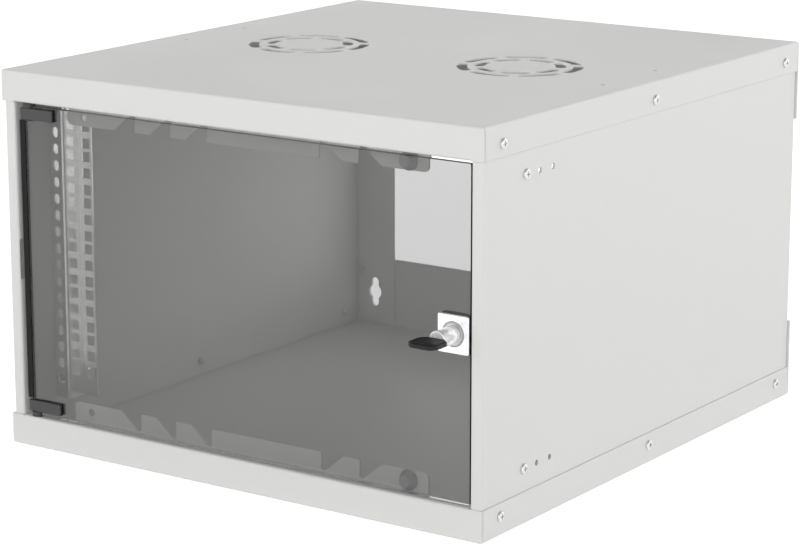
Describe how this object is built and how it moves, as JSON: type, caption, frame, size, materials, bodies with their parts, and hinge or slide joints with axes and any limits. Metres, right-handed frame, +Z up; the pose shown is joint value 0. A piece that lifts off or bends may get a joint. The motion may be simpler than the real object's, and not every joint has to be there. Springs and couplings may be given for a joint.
{
  "type": "wall mount network cabinet",
  "caption": "Low sheet-steel wall cabinet for network gear, with a tinted glass door hung on corner clamps, a keyed cam lock, slotted fan patterns in the cover and stepped rack rails.",
  "frame": {"origin": "centre of the underside of the base tray", "axes": "+Z up, the door faces -Y and the wall side +Y, +X to the right of someone facing the door"},
  "size_m": [0.5296, 0.608, 0.355],
  "materials": {
    "powder_coat": "fine-textured light grey powder coat",
    "zinc": "bright zinc plate",
    "rubber": "matt black rubber",
    "black_plastic": "satin black moulding",
    "tinted_glass": "polished grey-tinted toughened glass",
    "black_metal": "satin black coat",
    "steel": "turned steel",
    "chrome": "bright nickel-chrome"
  },
  "bodies": {
    "case": {"base_tray": "powder_coat", "top_cover": "powder_coat", "side_panel_left": "powder_coat", "side_panel_right": "powder_coat", "rack_rail_left": "zinc", "rack_rail_right": "zinc", "base_tray_screws": "zinc", "base_tray_nuts": "zinc", "top_cover_screws": "zinc", "top_cover_nuts": "zinc", "rail_screws": "zinc", "rail_nuts": "zinc", "rear_joint_screws": "zinc", "rear_joint_nuts": "zinc", "door_buffer_lower": "rubber", "door_buffer_upper": "rubber", "hinge_bush_lower": "black_plastic", "hinge_bush_upper": "black_plastic"},
    "door": {"door_glass": "tinted_glass", "hinge_clamp_lower": "black_metal", "hinge_clamp_upper": "black_metal", "hinge_liner_lower": "rubber", "hinge_liner_upper": "rubber", "hinge_pin_lower": "steel", "hinge_pin_upper": "steel", "hinge_clamp_screws": "black_metal", "door_edge_seal": "rubber", "lock_plate": "chrome", "lock_gasket_front": "rubber", "lock_gasket_back": "rubber", "lock_housing": "black_plastic", "lock_fixing_screws": "zinc"},
    "lock": {"lock_cylinder": "steel", "lock_cam": "zinc", "lock_cam_screw": "zinc"},
    "key": {"key_blade": "chrome", "key_bow": "black_plastic"}
  },
  "joints": [
    {"name": "door_hinge", "type": "hinge", "parent": "case", "child": "door", "pos_m": [-0.236, -0.2729, 0.1775], "axis": [0, 0, -1], "range_deg": [0, 125]},
    {"name": "lock_turn", "type": "hinge", "parent": "door", "child": "lock", "pos_m": [0.2314, -0.278, 0.1775], "axis": [0, -1, 0], "range_deg": [0, 90]},
    {"name": "key_slide", "type": "slide", "parent": "lock", "child": "key", "axis": [0, -1, 0], "range_m": [0, 0.03]}
  ]
}
